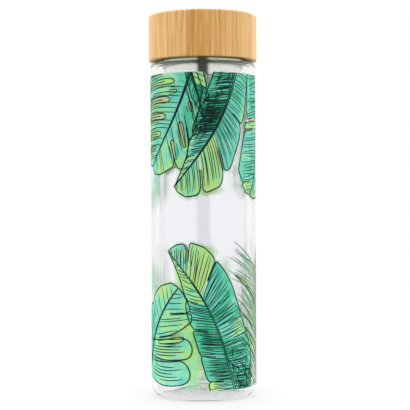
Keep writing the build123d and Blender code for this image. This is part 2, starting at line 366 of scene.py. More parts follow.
def line_ink(tree, place):
    """Screen-printed enamel ink of the drawn lines: a near-black green, thin and satin, a little paler where
    less ink was laid down."""
    laid = add(tree, "TexNoise", wires={"Vector": place, "Scale": 1 / INK_PATCH, "Detail": 3.0})
    colour = add(tree, "ValToRGB", wires={"Fac": laid}, stops=[(0.35, "#021C1A"), (0.65, "#07332D")])
    return {
        "Base Color": colour,
        "Alpha": 0.97,
        "Roughness": 0.7,
        "IOR": 1.5,
        "Specular IOR Level": 0.15,
    }


def finished(name, recipe, *choices):
    """A material of this name. Its recipe adds nodes to the tree, for a place in the object's own
    coordinates, and says what each input of the surface's shader gets."""
    material, tree = new_material(name)
    place = add(tree, "TexCoord").outputs["Object"]
    shader = add(tree, "BsdfPrincipled", wires=recipe(tree, place, *choices))
    add(tree, "OutputMaterial", wires={"Surface": shader})
    return material


GLASS = finished("borosilicate_glass_blown", clear_glass)
BAMBOO = finished("bamboo_laminated_turned", bamboo)
PLASTIC = finished("polypropylene_moulded", polypropylene)
SILICONE = finished("silicone_rubber_moulded", silicone)
STEEL = finished("stainless_steel_pressed", steel)
BRUSHED = finished("stainless_steel_brushed_round", steel, "wrap")
WASH = finished("printed_enamel_watercolour", watercolour)
INK = finished("printed_enamel_line_ink", line_ink)
WASH["slot"], INK["slot"] = "leaf_wash", "leaf_line"

# ---------------------------------------------------------------- glass body
OUTER_WALL = 1.9 * MM
INNER_WALL = 1.8 * MM
CORNER = 6.5 * MM  # radius where the side turns into the base
SHOULDER = 2.6 * MM  # radius of the shoulder
CONTACT_IN_R = 22.5 * MM  # inside radius of the ring that the glass stands on
PUSH_UP = 3.5 * MM  # how far the middle of the base is pushed up
TIP_R = 2.0 * MM  # radius of the sealing bead
TIP_DROP = 1.7 * MM  # how far the bead hangs down
TIP_PEAK = 0.6 * MM  # how far the hollow rises over it
VESSEL_R = 27.2 * MM  # outside radius of the inner vessel
VESSEL_CORNER = 9.0 * MM
THROAT_DROP = 1.0 * MM  # the throat is at its full width this far under the top of the hollow
NECK_R = 26.0 * MM
NECK_Z = 208.8 * MM
NECK_FILLET = 1.6 * MM
MOUTH_R = 23.9 * MM
RIM_ROUND = 1.0 * MM
LEAD = 6.0 * MM
THREAD_Z = 212.0 * MM
THREAD_TURNS = 1.4
THREAD_ROOT_HALF = 1.2 * MM
THREAD_CREST_HALF = 0.5 * MM
THREAD_FADE = 0.06  # of a turn
HAIR = 0.05 * MM  # a point this near the neck's radius lies on the neck
ROUND = 256  # faces round the glass


def joined(*parts):
    """Several (vertices, faces) pairs as one."""
    vertices, faces, start = [], [], 0
    for some_vertices, some_faces in parts:
        vertices.append(some_vertices)
        faces += [[i + start for i in face] for face in some_faces]
        start += len(some_vertices)
    return np.concatenate(vertices), faces


def neck_thread(z, angle, r):
    """Ridge of a right-hand thread round the neck: height falls off with the distance, along z, to a helix
    z = start + lead * turns, and fades in and out at the two ends."""
    turns = angle / TURN
    whole = np.round((z - THREAD_Z) / LEAD - turns)
    along = turns + whole
    distance = np.abs(z - THREAD_Z - LEAD * along)
    side = smooth((THREAD_ROOT_HALF - distance) / (THREAD_ROOT_HALF - THREAD_CREST_HALF))
    fade = smooth(along / THREAD_FADE) * smooth((THREAD_TURNS - along) / THREAD_FADE)
    on_neck = (np.abs(r - NECK_R) < HAIR) & (z > NECK_Z)
    return np.where(on_neck, (NECK_CREST_R - NECK_R) * side * fade, 0)


def dome(z):
    """The base's pushed-up middle, a shallow dome from the bead to the contact ring."""
    r = np.linspace(TIP_R, CONTACT_IN_R, 12)
    t = (r - TIP_R) / (CONTACT_IN_R - TIP_R)
    return np.stack([r, z + PUSH_UP * (1 - t**2)], axis=1)


def glass_body():
    """The two glasses fused into one: the skin from the base round to the vessel's floor, and the sealed
    space between the walls, both turned about z."""
    corner_r = GLASS_R - CORNER
    shoulder_r = GLASS_R - SHOULDER
    inner_r = VESSEL_R - INNER_WALL
    inner_corner = VESSEL_CORNER - INNER_WALL
    floor_z = VESSEL_Z + INNER_WALL
    throat_z = SHOULDER_Z - OUTER_WALL - THROAT_DROP
    skin = np.concatenate([
        [(0, PUSH_UP - TIP_DROP)],
        arc(0, PUSH_UP, TIP_DROP, -75, 0, 7) * (TIP_R / TIP_DROP, 1),
        dome(0)[1:],
        arc(corner_r, CORNER, CORNER, -90, 0, 14),
        crowded((GLASS_R, CORNER), (GLASS_R, SHOULDER_Z - SHOULDER))[1:],
        arc(shoulder_r, SHOULDER_Z - SHOULDER, SHOULDER, 0, 90, 24)[1:],
        arc(NECK_R + NECK_FILLET, SHOULDER_Z + NECK_FILLET, NECK_FILLET, -90, -180, 16),
        straight((NECK_R, NECK_Z), (NECK_R, MOUTH_Z - RIM_ROUND), 70)[1:],
        arc(NECK_R - RIM_ROUND, MOUTH_Z - RIM_ROUND, RIM_ROUND, 0, 90, 7)[1:],
        arc(MOUTH_R + RIM_ROUND, MOUTH_Z - RIM_ROUND, RIM_ROUND, 90, 180, 7),
        eased((MOUTH_R, NECK_Z), (inner_r, throat_z), 12),
        crowded((inner_r, throat_z), (inner_r, floor_z + inner_corner))[1:],
        arc(inner_r - inner_corner, floor_z + inner_corner, inner_corner, 0, -90, 12)[1:],
        [(0, floor_z)],
    ])
    gap_r = GLASS_R - OUTER_WALL
    gap_top = SHOULDER_Z - OUTER_WALL
    gap_corner = CORNER - OUTER_WALL
    turn_r = (gap_r - VESSEL_R) / 2
    hollow = np.concatenate([
        [(0, VESSEL_Z)],
        arc(VESSEL_R - VESSEL_CORNER, VESSEL_Z + VESSEL_CORNER, VESSEL_CORNER, -90, 0, 14),
        crowded((VESSEL_R, VESSEL_Z + VESSEL_CORNER), (VESSEL_R, gap_top - turn_r))[1:],
        arc(VESSEL_R + turn_r, gap_top - turn_r, turn_r, 180, 0, 32)[1:],
        crowded((gap_r, gap_top - turn_r), (gap_r, CORNER))[1:],
        arc(corner_r, CORNER, gap_corner, 0, -90, 12)[1:],
        dome(OUTER_WALL)[::-1][1:],
        [(0, PUSH_UP + OUTER_WALL + TIP_PEAK)],
    ])
    vertices, faces = joined(turned(skin, ROUND, neck_thread), turned(hollow, ROUND))
    return make_object("glass_body", vertices, faces, GLASS, 60)


glass = glass_body()
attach(glass, "bottle")
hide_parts("outer_glass", "inner_glass", "vent_tip")

for node, material in {
    "lid_shell": BAMBOO,
    "lid_liner": PLASTIC,
    "lid_gasket": SILICONE,
    "infuser_seal": SILICONE,
    "infuser_rim": STEEL,
    "infuser_floor": STEEL,
}.items():
    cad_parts[node].material_slots[0].material = material

# ---------------------------------------------------------------- infuser
SHEET = 0.5 * MM
HOLE_PITCH = 1.65 * MM
HOLE_SHARE = 0.27  # radius of an etched hole, as a share of the pitch
FOOT = 2.0 * MM  # unpierced edge at the bottom of the wall
COLLAR = 29.0 * MM  # and unpierced collar at its top


def pierced_tube(radius, columns, heights, holes_from, holes_to):
    """A tube of columns by rows of cells, row i between heights i and i + 1. Each cell in the rows from
    holes_from up to holes_to has an eight-sided hole: its points lie round the cell's middle, 45 degrees
    apart."""
    heights = np.asarray(heights)
    rows = len(heights) - 1
    column, row = np.meshgrid(np.arange(columns), np.arange(rows), indexing="ij")
    column, row = column.ravel(), row.ravel()
    following = (column + 1) % columns
    below, above = row * columns, (row + 1) * columns
    corners = np.stack([below + column, below + following, above + following, above + column], axis=1)
    holed = (row >= holes_from) & (row < holes_to)
    turn = np.radians(np.arange(8) * 45 - 135)
    across = column[holed, None] + 0.5 + HOLE_SHARE * np.cos(turn)
    pitch = heights[row[holed] + 1] - heights[row[holed]]
    up = heights[row[holed], None] + pitch[:, None] * (0.5 + HOLE_SHARE * np.sin(turn))
    angle = np.concatenate([np.tile(np.arange(columns), rows + 1), across.ravel()]) / columns * TURN
    z = np.concatenate([np.repeat(heights, columns), up.ravel()])
    vertices = np.stack([radius * np.cos(angle), radius * np.sin(angle), z], axis=1)
    ring = (rows + 1) * columns + np.arange(holed.sum())[:, None] * 8 + np.arange(8)
    faces = corners[~holed].tolist()
    for side in range(4):
        outside = corners[holed][:, [side, (side + 1) % 4]]
        inside = ring[:, [(2 * side + 2) % 8, 2 * side + 1, 2 * side]]
        faces += np.concatenate([outside, inside], axis=1).tolist()
    return vertices, faces


def infuser_sheet():
    """The infuser's wall: thin steel, etched with a fine grid of holes between a plain foot and a plain
    collar."""
    first, last = BASKET_Z + FOOT, COLLAR_Z - COLLAR
    rows = round((last - first) / HOLE_PITCH)
    heights = [BASKET_Z, *np.linspace(first, last, rows + 1), *np.linspace(last, COLLAR_Z, 5)[1:]]
    columns = round(TURN * BASKET_R / HOLE_PITCH)
    vertices, faces = pierced_tube(BASKET_R, columns, heights, 1, 1 + rows)
    wall = make_object("infuser_etched_wall", vertices, faces, BRUSHED)
    mesh = wall.data
    corner = np.empty(len(mesh.loops), np.int64)
    mesh.loops.foreach_get("vertex_index", corner)
    x, y, z = vertices[corner].T
    # each corner's turn about the axis is measured from its own face's middle, so no face spans the seam
    sizes = np.empty(len(mesh.polygons), np.int64)
    mesh.polygons.foreach_get("loop_total", sizes)
    face = np.repeat(np.arange(len(sizes)), sizes)
    middle = np.arctan2(np.bincount(face, y), np.bincount(face, x))[face]
    turned_by = (np.arctan2(y, x) - middle + math.pi) % TURN - math.pi
    wrap = np.stack([(middle + turned_by) * BASKET_R / MM, z / MM], axis=1)
    mesh.uv_layers.new(name="wrap").data.foreach_set("uv", wrap.ravel())
    thick = wall.modifiers.new("thickness", "SOLIDIFY")
    thick.thickness = SHEET
    thick.offset = -1
    return wall


infuser = infuser_sheet()
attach(infuser, "infuser")
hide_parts("infuser_wall")


# ---------------------------------------------------------------- leaf print
# The print is laid out flat in millimetres: u round the glass from the front, v up it. It is wrapped on to
# the barrel at the end. Its back half is the front half mirrored and spread a little.
BARREL = GLASS_R / MM
HALF_ROUND = math.pi * BARREL
UPPER_TOP = 197.4  # both bands are cut off straight, the upper one here
LOWER_FOOT = 7.0  # and the lower one here
WASH_LIFT = 0.05  # the film of ink stands this far off the glass
LAYER = 0.012  # and each leaf laid over another stands this much further
LINE_LIFT = 0.16
MIDDLE = 124.9  # height of the eye, and middle of the clear band
BACK_WIDEN = 1.05  # the back's leaves lie this much further round, so that they hide behind the front's
BACK_SPREAD = 1.1  # the back's leaves keep this much further from the middle, so the clear band stays clear
LINE = 0.75  # width of a drawn line
BOLD, LIGHT, FAINT, FINE = LINE * 1.1, LINE * 0.8, LINE * 0.6, LINE * 0.5  # and of heavier and lighter ones
BLEED = 3.0  # how far the colour runs past a margin
HALO_TONE, HALO_COVER = 0.88, 0.85  # of the colour that has run there
HALO_RIPPLE = 0.65  # share of its cover that comes and goes along the margin
GLOW_TONE, GLOW_COVER = 0.86, 0.8  # of the colour round a slot
LEAFLET_TONE, LEAFLET_COVER, LEAFLET_WIDTH = 0.86, 0.7, 1.1  # of the feather palm
SLIVER = 5e-5  # square millimetres; a smaller face is left out
ECHO = 1.7  # the glow and the second line round a slot stand this far outside it
rng = np.random.default_rng(11)


def bezier(points, t):
    """Bezier curve of the given control points at t, by repeated blending of neighbours."""
    points = np.broadcast_to(np.asarray(points, float), (len(t), len(points), 2))
    t = t[:, None, None]
    while points.shape[1] > 1:
        points = points[:, :-1] * (1 - t) + points[:, 1:] * t
    return points[:, 0]


def unit(vectors):
    """Vectors along the last axis, made one long."""
    return vectors / np.maximum(np.linalg.norm(vectors, axis=-1, keepdims=True), 1e-9)


def left_of(vectors):
    """Vectors turned a quarter turn to the left."""
    return np.stack([-vectors[..., 1], vectors[..., 0]], axis=-1)


def vein(leaf, side, s, t):
    """Point t of the way along the vein that leaves the midrib at s: a ray at the leaf's vein angle, as long
    as the leaf is wide there, bending towards the tip as t squared."""
    shape = leaf[side]
    flat_s = s.ravel()
    root = bezier(leaf["midrib"], flat_s)
    ahead = unit(bezier(leaf["midrib"], flat_s + 0.01) - bezier(leaf["midrib"], flat_s - 0.01))
    across = left_of(ahead) * side
    angle = np.radians(np.interp(flat_s, *zip(*shape["angle"])))[:, None]
    reach = np.interp(flat_s, *zip(*shape["reach"]))[:, None]
    t = t.ravel()[:, None]
    ray = t * (np.cos(angle) * ahead + np.sin(angle) * across) + shape.get("curl", 0.0) * t**2 * ahead
    return (root + reach * ray).reshape(*s.shape, 2)


def lobe_edge(s, start, end, cut):
    """How far a lobe's margin reaches at s: 1 over its middle, less towards both ends, which leaves a notch
    between two lobes. cut is the notch's depth."""
    x = np.abs(2 * (s - start) / (end - start) - 1)
    return 1 - cut * x**6


def blade(leaf, side, start, end, cut, tone, tip_tone):
    """One lobe's wash: a grid of s along the midrib by t along the veins. Its tone goes from the one at the
    midrib to the one at the margin."""
    s, t = np.meshgrid(np.linspace(start, end, 22), np.linspace(0, 1, 12), indexing="ij")
    t = t * lobe_edge(s, start, end, cut)
    reach = np.interp(s, *zip(*leaf[side]["reach"]))
    return {
        "uv": vein(leaf, side, s, t),
        "tone": tone + (tip_tone - tone) * t,
        "grain": np.stack([s * 100, t * reach], axis=-1),
    }


def bleed(leaf, side, start, end, cut):
    """The pale halo where a lobe's colour has run past its drawn margin: a band along the margin whose cover
    fades outwards, and rises and falls along it with the square of a sine."""
    s, across = np.meshgrid(np.linspace(start, end, 22), np.linspace(0, 1, 5), indexing="ij")
    reach = np.maximum(np.interp(s, *zip(*leaf[side]["reach"])), 1)
    t = lobe_edge(s, start, end, cut) - 0.5 / reach + across * BLEED / reach
    ripple = 1 - HALO_RIPPLE + HALO_RIPPLE * np.sin(s * 47 + side) ** 2
    return {
        "uv": vein(leaf, side, s, t),
        "tone": np.full(s.shape, HALO_TONE),
        "grain": np.stack([s * 100, t * reach], axis=-1),
        "cover": HALO_COVER * (1 - across) * ripple,
    }


def finger(root, heading, length, width, curl, tone):
    """A rounded lobe: its middle line starts at root along heading and curls by a steady angle, and its half
    width swells, then closes in a half round. The steps crowd together towards the round end."""
    t = 1 - (1 - np.linspace(0, 1, 30)) ** 1.6
    angle = np.radians(heading + curl * t)
    step = np.stack([np.cos(angle), np.sin(angle)], axis=1) * length * np.gradient(t)[:, None]
    middle = np.asarray(root, float) + np.cumsum(step, axis=0) - step[0]
    end = width / 2 / length
    rounding = np.sqrt(np.clip(1 - np.clip((t - 1 + end) / end, 0, 1) ** 2, 0, 1))
    half = width / 2 * (0.72 + 0.28 * smooth(t / 0.6)) * rounding
    across = np.linspace(-1, 1, 9)
    normal = left_of(unit(step))
    uv = middle[:, None] + normal[:, None] * (half[:, None] * across)[..., None]
    grid_t, grid_a = np.meshgrid(t, across, indexing="ij")
    return {
        "uv": uv,
        "tone": np.full(grid_t.shape, tone),
        "grain": np.stack([grid_a * width * 2, grid_t * length], axis=-1),
        "rim": np.concatenate([uv[:, 0], uv[::-1, -1]]),
        "middle": middle,
    }


def pool(centre, size, tone, cover):
    """A soft puddle of thin colour: an ellipse whose cover fades out towards its rim."""
    r, angle = np.meshgrid(np.linspace(0.02, 1, 14), np.linspace(0, TURN, 28), indexing="ij")
    uv = np.stack([np.cos(angle) * r * size[0], np.sin(angle) * r * size[1]], axis=-1) + centre
    return {
        "uv": uv,
        "tone": np.full(r.shape, tone),
        "grain": uv * 0.6,
        "cover": cover * smooth(1.3 * (1 - r)),
    }


def height(layer):
    """How far off the glass a wash of this layer stands."""
    return WASH_LIFT + LAYER * layer


def ribbons(paths, width, taper=0.75):
    """Drawn lines: each path of points gets a width that swells in its middle and tapers to its ends."""
    paths = np.asarray(paths, float)
    if paths.ndim == 2:
        paths = paths[None]
    t = np.linspace(0, 1, paths.shape[1])
    half = width / 2 * (1 - taper + taper * np.sin(np.pi * (0.06 + 0.9 * t)) ** 0.6)
    normal = left_of(unit(np.gradient(paths, axis=1)))
    side = np.stack([-1, 1])[None, None, :, None] * half[None, :, None, None]
    return paths[:, :, None] + normal[:, :, None] * side


def wrapped(uv, lift):
    """A flat point (u, v) on the barrel: angle = u / radius from the front, height = v."""
    r = BARREL + lift
    angle = uv[..., 0] / BARREL
    return np.stack([r * np.sin(angle), -r * np.cos(angle), uv[..., 1]], axis=-1) * MM


def film(name, grids, material, band, back):
    """An ink film of many grids. Each is mirrored for the back, cut off straight at the band's edge, turned
    to face outwards and wrapped on to the barrel."""
    vertices, faces, tones, covers, grains, start = [], [], [], [], [], 0
    for grid in grids:
        uv = grid["uv"].copy()
        rows, columns = uv.shape[:2]
        if back:
            uv[..., 0] = HALF_ROUND - uv[..., 0] * BACK_WIDEN
            uv[..., 1] = MIDDLE + (uv[..., 1] - MIDDLE) * BACK_SPREAD
        within = (LOWER_FOOT, math.inf) if band == "lower" else (-math.inf, UPPER_TOP)
        cut = np.clip(uv[..., 1], *within)
        beyond = cut != uv[..., 1]
        uv[..., 1] = cut
        index = np.arange(rows * columns).reshape(rows, columns)
        quads = np.stack([index[:-1, :-1], index[1:, :-1], index[1:, 1:], index[:-1, 1:]], axis=-1)
        quads = quads.reshape(-1, 4)
        corners = uv.reshape(-1, 2)[quads]
        first, second = corners[:, 2] - corners[:, 0], corners[:, 3] - corners[:, 1]
        area = first[:, 0] * second[:, 1] - first[:, 1] * second[:, 0]
        kept = ~beyond.ravel()[quads].all(axis=1) & (np.abs(area) > 2 * SLIVER)
        quads = np.where((area < 0)[:, None], quads[:, ::-1], quads)[kept]
        vertices.append(wrapped(uv, grid["lift"] - (LAYER / 2 if back else 0)).reshape(-1, 3))
        tones.append(np.broadcast_to(grid.get("tone", 0.0), (rows, columns)).ravel())
        covers.append(np.broadcast_to(grid.get("cover", 1.0), (rows, columns)).ravel())
        grains.append(grid.get("grain", uv).reshape(-1, 2))
        faces.append(quads + start)
        start += rows * columns
    faces = np.concatenate(faces)
    used, faces = np.unique(faces, return_inverse=True)
    faces = faces.reshape(-1, 4)
    made = make_object(name, np.concatenate(vertices)[used], faces.tolist(), material)
    mesh = made.data
    for label, values in (("tone", tones), ("cover", covers)):
        layer = mesh.attributes.new(label, "FLOAT", "POINT")
        layer.data.foreach_set("value", np.concatenate(values)[used].astype(np.float32))
    grain = np.concatenate(grains)[used][faces.ravel()]
    mesh.uv_layers.new(name="grain").data.foreach_set("uv", grain.astype(np.float32).ravel())
    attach(made, "bottle")
    return made


def hatching(leaf, side, start, end, count):
    """Short curved strokes that cross the veins: each keeps near one share of the reach while s runs on."""
    s0 = rng.uniform(start, end, (count, 1))
    share = rng.uniform(0.1, 0.92, (count, 1))
    run = rng.uniform(0.04, 0.1, (count, 1))
    t = np.linspace(0, 1, 8)
    s = np.clip(s0 + run * t, 0.01, 0.985)
    return vein(leaf, side, s, np.clip(share + rng.uniform(-0.25, 0.25, (count, 1)) * t, 0.02, 0.97))


def leaf_drawing(leaf, layer):
    """A whole leaf with veins: the washes of its lobes, and the lines for its veins, margins and midrib."""
    washes, lines = [], []
    for side in (1, -1):
        for start, end, tone, tip_tone, count, width, cut in leaf[side]["lobes"]:
            wash = blade(leaf, side, start, end, cut, tone, tip_tone)
            washes.append({**wash, "lift": height(layer)})
            washes.append({**bleed(leaf, side, start, end, cut), "lift": height(layer - 1)})
            s = np.linspace(start, end, count + 2)[1:-1]
            s += rng.uniform(-0.35, 0.35, count) * (end - start) / count
            reach = rng.uniform(0.72, 0.99, count) * lobe_edge(s, start, end, cut)
            t = np.linspace(0.02, 1, 12)[None] * reach[:, None]
            wobble = rng.uniform(-1, 1, (count, 1)) * 0.006 * np.sin(t * rng.uniform(3, 7, (count, 1)))
            lines.append(ribbons(vein(leaf, side, s[:, None] + wobble, t), width))
            edge_s = np.concatenate([np.full(8, start), np.linspace(start, end, 40), np.full(8, end)])
            edge_t = lobe_edge(edge_s, start, end, cut)
            edge_t[:8] *= np.linspace(0.45, 1, 8)
            edge_t[-8:] *= np.linspace(1, 0.45, 8)
            lines.append(ribbons(vein(leaf, side, edge_s, edge_t), LINE, 0.3))
        for at, first, last, width, tone in leaf[side].get("slots", []):
            t = np.linspace(last, first, 22)
            slot_washes, slot_lines = slit(vein(leaf, side, np.full(22, at), t), width, tone, layer + 2)
            washes += slot_washes
            lines.append(slot_lines)
        for start, end, count in leaf[side].get("hatch", []):
            lines.append(ribbons(hatching(leaf, side, start, end, count), LIGHT))
    along = bezier(leaf["midrib"], np.linspace(0, 1, 60))
    normal = left_of(unit(np.gradient(along, axis=0)))
    gap = np.linspace(leaf["stem"], 0.1, 60)[:, None] / 2
    washes.append({
        "uv": along[:, None] + normal[:, None] * np.stack([-gap, gap], axis=1),
        "tone": leaf["stem_tone"],
        "lift": height(layer + 1),
    })
    lines.append(ribbons(along + normal * gap, BOLD, 0.2))
    lines.append(ribbons(along - normal * gap, BOLD, 0.2))
    return washes, [line for group in lines for line in group]


def slit(middle, width, tone, layer):
    """A slit or hole in a leaf: a long drop along a line, with a drawn rim, a glow of colour round it and a
    second line on each side. It narrows towards the line's start and closes in a half round at both ends."""
    t = np.linspace(1, 0, len(middle))
    half = width / 2 * np.sqrt(np.clip(1 - (1 - np.clip(t / 0.2, 0, 1)) ** 2, 0, 1)) * (1 - 0.55 * t)
    half *= np.sqrt(np.clip(1 - np.clip((t - 0.9) / 0.1, 0, 1) ** 2, 0.02, 1))
    normal = left_of(unit(np.gradient(middle, axis=0)))[:, None]
    across = np.linspace(-1, 1, 5)
    spread = across[None, :, None]
    uv = middle[:, None] + normal * half[:, None, None] * spread
    rim = np.concatenate([uv[:, 0], uv[::-1, -1]])
    wash = {"uv": uv, "tone": tone, "lift": height(layer)}
    echo = middle[:, None] + normal * (half[:, None, None] + ECHO) * spread
    glow = {
        "uv": echo,
        "tone": GLOW_TONE,
        "cover": GLOW_COVER * (1 - np.abs(across)) ** 0.5 * np.ones((len(middle), 1)),
        "lift": height(layer - 1),
    }
    return [glow, wash], [*ribbons(rim, LIGHT, 0.3), *ribbons(echo[2:-5, [0, -1]].swapaxes(0, 1), FAINT)]


def lobe_drawing(root, heading, length, width, curl, tone, layer, streaks):
    """A rounded lobe with a drawn rim and a few streaks along it."""
    made = finger(root, heading, length, width, curl, tone)
    lines = [*ribbons(made.pop("rim"), LINE, 0.3)]
    middle = made.pop("middle")
    normal = left_of(unit(np.gradient(middle, axis=0)))
    for offset in np.linspace(-0.55, 0.55, streaks):
        first, last = rng.integers(1, 9), rng.integers(15, 24)
        path = (middle + normal * offset * width / 2)[first:last]
        lines += [*ribbons(path, LIGHT)]
    return [{**made, "lift": height(layer)}], lines


# a lobe is (start, end, tone at the midrib, tone at the margin, veins, vein width, notch)
UPPER_BANANA = {
    "midrib": [(23.5, 206), (16, 176), (8, 158), (-18.5, 128.5)],
    "stem": 1.3,
    "stem_tone": 0.55,
    1: {
        "angle": [(0, 94), (0.3, 80), (0.5, 62), (0.58, 50), (1, 46)],
        "reach": [
            (0, 9), (0.15, 11.5), (0.3, 14.5), (0.4, 17), (0.5, 20.5), (0.57, 26), (0.64, 26.5),
            (0.75, 22), (0.8, 19.5), (0.9, 13), (0.97, 5), (1, 0),
        ],
        "curl": 0.14,
        "lobes": [
            (0.02, 0.36, 0.55, 0.66, 13, 0.5, 0.1),
            (0.365, 0.575, 0.5, 0.62, 12, 0.5, 0.18),
            (0.59, 0.765, 0.88, 0.96, 8, 0.5, 0.12),
            (0.78, 0.99, 0.72, 0.92, 9, 0.5, 0.2),
        ],
    },
    -1: {
        "angle": [(0, 75), (0.5, 60), (0.75, 45), (1, 30)],
        "reach": [
            (0, 14), (0.2, 15.5), (0.4, 16), (0.5, 15), (0.6, 13), (0.7, 10), (0.8, 6.5), (0.9, 3.5),
            (1, 0),
        ],
        "curl": 0.05,
        "lobes": [
            (0.02, 0.30, 0.42, 0.5, 22, 0.65, 0.1),
            (0.30, 0.58, 0.22, 0.42, 28, 0.72, 0.12),
            (0.58, 0.76, 0.5, 0.75, 11, 0.55, 0.25),
            (0.76, 0.99, 0.88, 0.92, 7, 0.45, 0.2),
        ],
        "hatch": [(0.04, 0.56, 34)],
    },
}
UPPER_MONSTERA = {
    "midrib": [(-6, 203), (-12, 180), (-22, 160), (-40, 141)],
    "stem": 1.1,
    "stem_tone": 0.25,
    1: {
        "angle": [(0, 37), (0.3, 37), (0.5, 41), (0.7, 52), (1, 50)],
        "reach": [
            (0, 16), (0.1, 18.5), (0.3, 25), (0.5, 30), (0.6, 25), (0.7, 18.5), (0.85, 13), (0.95, 7),
            (1, 2),
        ],
        "curl": 0.06,
        "lobes": [
            (0.0, 0.34, 0.58, 0.55, 3, 0.5, 0.1),
            (0.34, 0.62, 0.62, 0.8, 3, 0.5, 0.25),
            (0.62, 0.99, 0.68, 0.9, 4, 0.5, 0.3),
        ],
        "slots": [(0.22, 0.4, 0.66, 2.8, 1.35), (0.42, 0.28, 0.82, 3.2, 1.35), (0.6, 0.3, 0.76, 2.6, 1.3)],
    },
    -1: {
        "angle": [(0, 84), (0.5, 72), (1, 45)],
        "reach": [(0, 44), (0.2, 40), (0.4, 35), (0.6, 27), (0.8, 18), (0.93, 9), (1, 0)],
        "curl": 0.25,
        "lobes": [
            (0.0, 0.17, 0.6, 0.88, 2, 0.55, 0.1),
            (0.17, 0.34, 0.58, 0.94, 3, 0.55, 0.15),
            (0.34, 0.5, 0.6, 0.9, 3, 0.55, 0.2),
            (0.5, 0.66, 0.62, 0.94, 3, 0.55, 0.25),
            (0.66, 0.8, 0.58, 0.88, 2, 0.55, 0.3),
            (0.8, 0.99, 0.62, 0.92, 2, 0.55, 0.3),
        ],
        "slots": [
            (0.08, 0.45, 0.8, 2.4, 1.0),
            (0.17, 0.2, 1.0, 3.8, 0.95),
            (0.26, 0.12, 0.26, 2.0, 1.2),
            (0.34, 0.2, 1.0, 4.2, 1.35),
            (0.5, 0.2, 1.0, 4.0, 1.2),
            (0.66, 0.2, 1.0, 3.6, 1.0),
            (0.8, 0.25, 1.0, 3.2, 0.95),
        ],
    },
}
UPPER_FROND = {
    "midrib": [(48, 206), (48, 170), (48, 138), (33.5, 123.5)],
    "stem": 1.2,
    "stem_tone": 0.5,
    1: {
        "angle": [(0, 85), (0.7, 70), (1, 40)],
        "reach": [(0, 10), (0.5, 15), (0.8, 14), (1, 0)],
        "lobes": [(0.02, 0.5, 0.6, 0.65, 14, 0.45, 0.1), (0.5, 0.99, 0.65, 0.8, 12, 0.45, 0.15)],
    },
    -1: {
        "angle": [(0, 80), (0.6, 78), (0.85, 55), (1, 40)],
        "reach": [(0, 17), (0.3, 17), (0.45, 19.5), (0.7, 20), (0.85, 13), (0.95, 6), (1, 0)],
        "lobes": [
            (0.02, 0.33, 0.5, 0.55, 16, 0.5, 0.08),
            (0.35, 0.40, 0.8, 0.9, 2, 0.4, 0.2),
            (0.41, 0.82, 0.62, 0.6, 15, 0.5, 0.08),
            (0.82, 0.99, 0.8, 0.95, 5, 0.4, 0.2),
        ],
    },
}
UPPER_SPRIG = {
    "midrib": [(-9, 205), (-6, 195), (-3, 184), (1, 168)],
    "stem": 0.6,
    "stem_tone": 0.3,
    1: {
        "angle": [(0, 50), (1, 40)],
        "reach": [(0, 9), (0.5, 9), (0.8, 5), (1, 0)],
        "lobes": [(0.0, 0.42, 0.85, 0.9, 3, 0.5, 0.1), (0.42, 0.99, 0.3, 0.4, 7, 0.5, 0.2)],
    },
    -1: {
        "angle": [(0, 40), (1, 30)],
        "reach": [(0, 6), (0.5, 7), (1, 0)],
        "lobes": [(0.0, 0.99, 0.34, 0.4, 6, 0.5, 0.2)],
    },
}
LOWER_BANANA = {
    "midrib": [(22, 0), (13, 24), (12, 56), (-23.5, 90.5)],
    "stem": 1.3,
    "stem_tone": 0.6,
    1: {
        "angle": [(0, 84), (0.35, 73), (0.5, 66), (0.6, 58), (0.7, 50), (0.8, 38), (1, 28)],
        "reach": [
            (0, 15), (0.15, 15.5), (0.35, 16), (0.5, 16), (0.6, 15.5), (0.7, 12), (0.8, 8.5), (0.9, 4.5),
            (1, 0),
        ],
        "curl": 0.05,
        "lobes": [
            (0.02, 0.17, 0.78, 0.85, 14, 0.5, 0.15),
            (0.17, 0.34, 0.34, 0.5, 13, 0.6, 0.08),
            (0.34, 0.50, 0.32, 0.45, 12, 0.6, 0.08),
            (0.51, 0.68, 0.36, 0.55, 12, 0.6, 0.12),
            (0.68, 0.99, 0.86, 0.92, 12, 0.5, 0.15),
        ],
    },
    -1: {
        "angle": [(0, 112), (0.2, 106), (0.35, 95), (0.5, 88), (0.6, 78), (0.7, 56), (0.78, 44), (1, 38)],
        "reach": [
            (0, 12), (0.15, 15.5), (0.25, 18.5), (0.35, 20), (0.45, 18.5), (0.52, 18), (0.6, 19),
            (0.66, 22), (0.72, 24.5), (0.78, 25.5), (0.85, 21), (0.93, 11), (1, 0),
        ],
        "curl": -0.03,
        "lobes": [
            (0.02, 0.235, 0.4, 0.3, 15, 0.6, 0.05),
            (0.235, 0.44, 0.45, 0.5, 15, 0.6, 0.05),
            (0.44, 0.525, 0.62, 0.85, 6, 0.5, 0.05),
            (0.525, 0.725, 0.56, 0.5, 20, 0.55, 0.04),
            (0.73, 0.855, 0.96, 1.0, 8, 0.5, 0.06),
            (0.87, 0.99, 0.8, 0.7, 8, 0.5, 0.3),
        ],
        "hatch": [(0.03, 0.33, 34)],
    },
}
